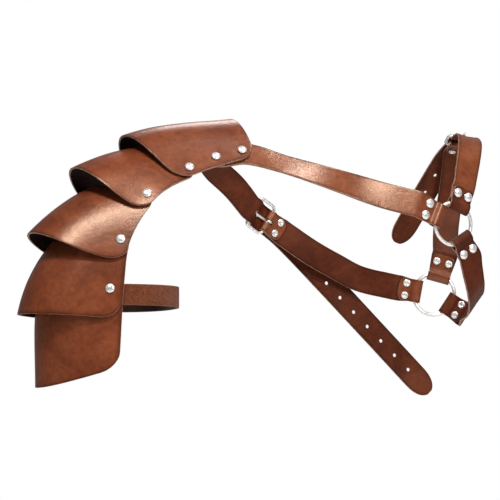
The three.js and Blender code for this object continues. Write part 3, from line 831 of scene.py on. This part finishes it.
grain_side = leather_face(
    "leather_grain", (0.13, 0.027, 0.009), (0.19, 0.044, 0.016), (0.25, 0.066, 0.026), 0.25, 0.6)
strap_side = leather_face(
    "strap_grain", (0.13, 0.029, 0.009), (0.19, 0.045, 0.015), (0.255, 0.07, 0.026), 0.23, 0.95)
inner_side = flesh_face("leather_inside", (0.008, 0.004, 0.003), (0.035, 0.014, 0.009))
strap_inside = leather_face(
    "strap_inside", (0.06, 0.011, 0.004), (0.1, 0.019, 0.007), (0.14, 0.032, 0.012), 0.42, 0.25)
rim = cut_edge("leather_edge", (0.2, 0.09, 0.05), (0.42, 0.22, 0.14))
steel = plated_steel("plated_steel")
cloth = loop_cloth("loop_cloth", (0.04, 0.009, 0.003), (0.26, 0.07, 0.025))
cloth_edge = loop_cloth("loop_cloth_edge", (0.13, 0.05, 0.03), (0.3, 0.12, 0.07))
cloth_inside = loop_cloth("loop_cloth_inside", (0.012, 0.006, 0.004), (0.06, 0.026, 0.015))
lame_materials = [grain_side, inner_side, rim]
strap_materials = [strap_side, strap_inside, rim]
# The underarm strap's outer face takes the darker inside leather: painted shade for a face turned
# from the light
painted_shade_strap_materials = [strap_inside, strap_inside, rim]


# Lames and their rivets

rivet_columns = ("name", "lames", "along", "across", "inside")
rivet_rows = [dict(zip(rivet_columns, values)) for values in (
    ("lame_rivet_1", (0, 1), 1.1, 0.9, 0),
    ("lame_rivet_2", (1, 2), 2.05, 0.9, 0),
    ("lame_rivet_3", (2, 3), 3.06, 0.92, 0),
    ("lame_rivet_4", (3, 4), 4.03, 0.9, 1),
    ("strap_end_rivet", (0,), 0.18, 0.89, 2),
    ("strap_side_rivet", (0,), 0.6, 0.88, 2),
)]
lame_holes = [[] for lame in lames]
strap_holes = {"front": [], "back": []}
layer_under = (0, band_thickness + 2 * lame_gap, strap_thickness + strap_room)

for line in rivet_rows:
    for side, sign in (("front", -1), ("back", 1)):
        across = sign * line["across"]
        outer = lames[line["lames"][0]]
        inner = lames[line["lames"][-1]]
        axis = lame_normal(outer, line["along"], across)
        under = layer_under[line["inside"]] + rivet_seat
        low = lame_point(inner, line["along"], across, -under)
        high = lame_point(outer, line["along"], across, lame_thickness + rivet_seat / 2)
        grip = np.dot(high - low, axis)
        foot = high - axis * grip
        rivet(f"{line['name']}_{side}", foot, axis, grip, steel)
        for number in line["lames"]:
            lame_holes[number].append((foot + axis * grip / 2, axis))
        if line["inside"] == 2:
            strap_holes[side].append((foot, axis))


def lame_sheet(number):
    lame = lames[number]
    half = lame_columns // 2
    steps = [math.sin(math.pi / 2 * c / half) for c in range(1, half + 1)]
    across = [-s for s in reversed(steps)] + [0] + steps
    arc = np.linalg.norm(form_point(lame["start"], 1) - form_point(lame["start"], 0))
    corner = 1 - corner_radius / (arc * 1.12)
    hem = np.linalg.norm(form_point(lame["hem_end"], 1) - form_point(lame["start"], 1))
    length = np.linalg.norm(form_point(lame["crown_end"], 0) - form_point(lame["start"], 0))

    def spot(r, c):
        w = across[c]
        into = max((abs(w) - corner) / (1 - corner), 0)
        cut = corner_radius / hem * (1 - math.sqrt(max(1 - into * into, 0)))
        share = cut + (1 - 2 * cut) * (r / (lame_rows_along - 1))
        return lame["start"] + (lame_end(lame, w) - lame["start"]) * share, w

    def point(r, c, side):
        along, w = spot(r, c)
        middle = lame_point(lame, along, w, side * lame_thickness)
        wave = noise.noise(Vector(middle) * lame_wave_pitch) * lame_wave
        if side:
            near = min(np.linalg.norm(middle - hole[0]) for hole in lame_holes[number])
            wave -= dimple_depth * math.exp(-(near / dimple_reach) ** 2)
        return middle + form_normal(along, w) * wave

    def grain(r, c):
        run = length * r / (lame_rows_along - 1)
        return run, min(run, length - run, arc * (1 - abs(across[c])))

    name = f"lame_{number + 1}"
    made = sheet(name, lame_rows_along, len(across), point, grain, lame_materials)
    rounded(made)
    sharpen(made)
    finish_piece(made, name)


for number in range(len(lames)):
    lame_sheet(number)


# Harness

front_ring = ring_frame(0.795, -1, -0.384, 0.087, -0.996)
back_ring = ring_frame(0.951, 0.667, -0.636, 0.42, 0.907)
layers_grip = 2 * strap_thickness + strap_gap


def ring(name, ring_place):
    points = []
    for i in range(ring_steps):
        angle = 2 * math.pi * i / ring_steps
        points.append(ring_place["centre"] + ring_place["right"] * (ring_radius * math.cos(angle))
                      + ring_place["up"] * (ring_radius * math.sin(angle)))
    tube(name, points, ring_wire, True, steel)


def fold_rivets(name, end):
    for i, (foot, axis) in enumerate(end["rivets"]):
        rivet(f"{name}_{i + 1}", foot, axis, layers_grip, steel)
    return [(foot + axis * layers_grip / 2, axis) for foot, axis in end["rivets"]]


def buckle_frame(name, buckle):
    half = half_strap + buckle_side_room + bar
    corner = buckle_corner
    corners = (
        (buckle_length - corner, half - corner, 0),
        (corner, half - corner, 1),
        (corner, corner - half, 2),
        (buckle_length - corner, corner - half, 3),
    )
    points = []
    for forward, sideways, quarter in corners:
        for i in range(9):
            angle = (quarter + i / 8) * math.pi / 2
            points.append(on_buckle(buckle, forward + corner * math.cos(angle), 0,
                                    sideways + corner * math.sin(angle)))
    tube(name, points, buckle_wire, True, steel)


def prong(name, buckle):
    turns = [math.radians(a) for a in (300, 260, 220, 180, 140, 105)]
    rough = [
        on_buckle(buckle, prong_height * math.cos(a), prong_height * math.sin(a)) for a in turns
    ]
    rough.append(on_buckle(buckle, 3, prong_height))
    rough.append(on_buckle(buckle, buckle_length + 2.5, prong_height))
    points = [spaced_curve(rough, i / 60) for i in range(61)]
    tube(name, points, prong_wire, False, steel)


ring("front_ring", front_ring)
ring("back_ring", back_ring)

end = ring_fold(front_ring, 156, 1)
fold_rivets("chest_strap_rivet", end)
stations = route([
    under_lame(0.75, -0.80),
    under_lame(0.45, -0.87),
    under_lame(0.12, -0.92),
    row(0.262, -0.760, -0.166, 0.02, -0.76, 0.65),
    row(0.389, -0.911, -0.216, 0.1, -0.88, 0.45),
    row(0.554, -1.011, -0.279, 0.05, -1, 0.1),
    end["lead"],
], 3)
strap("chest_strap", stations + end["stations"][::-1], strap_thickness, strap_materials)

side_buckle = buckle_at(place(0.407, 0.911, -0.353), place(0.354, 0.889, -0.311), vec(0.05, 1, 0))
start = buckle_fold(side_buckle)
end = ring_fold(back_ring, 10.5, 0.662)
fold_rivets("side_buckle_rivet", start)
fold_rivets("side_ring_rivet", end)
stations = start["stations"] + route([
    start["lead"],
    row(0.555, 0.933, -0.471, 0.05, 1, 0.05),
    row(0.642, 0.933, -0.527, 0.1, 1, 0.05),
    row(0.716, 0.889, -0.574, 0.2, 1, 0),
    end["lead"],
], 3)
strap("side_buckle_strap", stations + end["stations"][::-1], strap_thickness, strap_materials,
      slot_at=side_buckle)
buckle_frame("side_buckle_frame", side_buckle)
prong("side_buckle_prong", side_buckle)

through = through_buckle(side_buckle)
stations = route([
    under_lame(0.7, 0.80),
    under_lame(0.42, 0.83),
    under_lame(0.12, 0.9),
    row(0.205, 0.689, -0.160, 0, 0.85, 0.53),
    row(0.277, 0.778, -0.224, 0, 0.95, 0.25),
    through[0],
], 3)
stations += through[1:]
stations.append(row(0.499, 1.067, -0.432, 0.05, 1, 0))
tip = pointed(stations, place(0.955, 0.822, -1.032), tip_length)
strap("back_strap", stations, strap_thickness, strap_materials,
      hole_places(tip, side_tip_room, 7), prong_through=side_buckle)

top_buckle = buckle_at(
    place(0.989, 0.244, -0.040), place(0.974, 0.040, -0.014), vec(0.25, 0.45, 0.86))
start = buckle_fold(top_buckle)
end = ring_fold(back_ring, 105.6, 1)
fold_rivets("top_buckle_rivet", start)
fold_rivets("top_ring_rivet", end)
stations = start["stations"] + route([
    start["lead"],
    row(1.024, 0.70, -0.166, 0.25, 0.9, 0.35),
    row(1.024, 0.80, -0.26, 0.2, 1, 0.1),
    row(1.006, 0.76, -0.373, 0.3, 1, 0),
    end["lead"],
], 3)
strap("top_buckle_strap", stations + end["stations"][::-1], strap_thickness, strap_materials,
      slot_at=top_buckle)
buckle_frame("top_buckle_frame", top_buckle)
prong("top_buckle_prong", top_buckle)

start = ring_fold(front_ring, 70, 0.78, -1)
fold_rivets("shoulder_strap_rivet", start)
through = through_buckle(top_buckle)
stations = start["stations"] + route([
    start["lead"],
    row(0.888, -0.733, -0.093, 0.2, -0.75, 0.6),
    row(0.928, -0.444, -0.033, 0.25, -0.4, 0.9),
    through[0],
], 4)
stations += through[1:]
stations.append(row(0.997, 0.69, -0.085, 0.1, 0.75, 0.6))
tip = pointed(stations, place(0.895, 1.244, -0.418), tip_length)
strap("shoulder_strap", stations, strap_thickness, strap_materials,
      hole_places(tip, top_tip_room, 3), prong_through=top_buckle)

start = ring_fold(front_ring, -58.7, 0.853)
end = ring_fold(back_ring, 213, 0.662)
fold_rivets("underarm_front_rivet", start)
fold_rivets("underarm_back_rivet", end)
turn = corner_bend(end, back_ring["out"], under_bend)
stations = start["stations"] + route([
    start["stations"][-1],
    row(0.866, -0.967, -0.563, 0.25, -0.95, -0.15),
    row(0.893, -0.860, -0.640, 0.5, -0.75, -0.42),
    row(0.935, -0.533, -0.687, 0.68, -0.48, -0.55),
    row(0.979, -0.089, -0.699, 0.75, -0.38, -0.54),
    row(1.013, 0.262, -0.706, 0.76, -0.35, -0.545),
    turn[0],
], 2)[1:]
stations += turn[1:]
# Painted shade: the underarm strap's outer face uses the darker inside leather
strap("underarm_strap", stations + end["stations"][::-1], strap_thickness, painted_shade_strap_materials)


# Arm band

def arm_band():
    line = rivet_rows[3]
    inset = -1.8 * lame_gap - band_thickness / 2
    front = lame_point(lames[4], line["along"], -line["across"], inset)
    # Reach and depth as shares, from the front rivet round to the middle of the loop
    rows = [
        (-0.07, 0.93), (0, 1), (0.13, 1.07), (0.36, 1.09), (0.62, 1), (0.86, 0.74), (0.98, 0.36),
    ]
    ring_rows = rows + [(1, 0)] + [(reach, -depth) for reach, depth in reversed(rows)]
    points = [
        vec(front[0] + reach * band_reach, depth * front[1],
            front[2] - band_drop - band_tilt * (1 - depth) / 2)
        for reach, depth in ring_rows
    ]
    stations = []
    for i in range(73):
        share = i / 72
        ahead = spaced_curve(points, min(share + 1e-3, 1))
        behind = spaced_curve(points, max(share - 1e-3, 0))
        out = unit(np.cross(unit(ahead - behind), vec(0, 0, 1)))
        stations.append((spaced_curve(points, share), out, band_height / 2))
    strap("armband", stations, band_thickness, [cloth, cloth_inside, cloth_edge])


arm_band()


# Camera, light and floor

view_centre = vec(75, 0, -130) * MM
view_azimuth = math.radians(-25)
view_elevation = math.radians(-3)
view_distance = 5.0
view_width = 0.53
picture_centre = (243.5, 248.5)
picture_size = 500

back = Vector((math.sin(view_azimuth) * math.cos(view_elevation),
               -math.cos(view_azimuth) * math.cos(view_elevation),
               math.sin(view_elevation)))
camera_data = bpy.data.cameras.new("camera")
camera_data.lens = camera_data.sensor_width * view_distance / view_width
camera_data.shift_x = (picture_size / 2 - picture_centre[0]) / picture_size
camera_data.shift_y = -(picture_size / 2 - picture_centre[1]) / picture_size
camera_data.clip_end = 50
camera = linked("camera", camera_data)
camera.location = Vector(view_centre) + back * view_distance
camera.rotation_euler = back.to_track_quat("Z", "Y").to_euler()
bpy.context.scene.camera = camera


def area_light(name, location, size, power, target=(0.05, 0, -0.12)):
    data = bpy.data.lights.new(name, "AREA")
    data.shape = "DISK"
    data.size = size
    data.energy = power
    made = linked(name, data)
    made.location = location
    made.rotation_euler = (Vector(location) - Vector(target)).to_track_quat("Z", "Y").to_euler()


area_light("key_light", (0.6, -2.0, 0.75), 0.6, 24)
area_light("lame_light", (-0.5, -0.94, 1.3), 0.3, 25)
area_light("strap_light", (0.76, -0.32, 1.42), 0.28, 8)
area_light("crown_light", (0.74, 1.36, 1.28), 0.5, 5)


def soft_world(strength):
    """A soft grey room for the light, plain white where the camera looks past the piece."""
    world = bpy.data.worlds.new("world")
    world.use_nodes = True
    nodes = world.node_tree.nodes
    links = world.node_tree.links
    room = nodes["Background"]
    room.inputs["Color"].default_value = (1, 1, 1, 1)
    room.inputs["Strength"].default_value = strength
    backdrop = nodes.new("ShaderNodeBackground")
    backdrop.inputs["Color"].default_value = (1, 1, 1, 1)
    seen = nodes.new("ShaderNodeLightPath")
    choice = nodes.new("ShaderNodeMixShader")
    links.new(seen.outputs["Is Camera Ray"], choice.inputs["Fac"])
    links.new(room.outputs["Background"], choice.inputs[1])
    links.new(backdrop.outputs["Background"], choice.inputs[2])
    links.new(choice.outputs["Shader"], nodes["World Output"].inputs["Surface"])
    return world


world = soft_world(0.18)
bpy.context.scene.world = world
bpy.context.scene.view_settings.view_transform = "Standard"

floor_mesh = bpy.data.meshes.new("floor")
floor_size = 6.0
floor_height = -0.62
floor_mesh.from_pydata([
    (-floor_size, -floor_size, floor_height), (floor_size, -floor_size, floor_height),
    (floor_size, floor_size, floor_height), (-floor_size, floor_size, floor_height),
], [], [(0, 1, 2, 3)])

# The floor looks paler to the camera than its light alone makes it
floor_material, floor_nodes, floor_links, floor_shader = new_material("floor")
floor_shader.inputs["Base Color"].default_value = (0.9, 0.9, 0.9, 1)
floor_shader.inputs["Roughness"].default_value = 0.8
floor_shader.inputs["Emission Color"].default_value = (1, 1, 1, 1)
floor_seen = floor_nodes.new("ShaderNodeLightPath")
floor_glow = floor_nodes.new("ShaderNodeMapRange")
floor_glow.inputs["To Max"].default_value = 0.5
floor_links.new(floor_seen.outputs["Is Camera Ray"], floor_glow.inputs["Value"])
floor_links.new(floor_glow.outputs["Result"], floor_shader.inputs["Emission Strength"])
floor_mesh.materials.append(floor_material)
floor = linked("floor", floor_mesh)
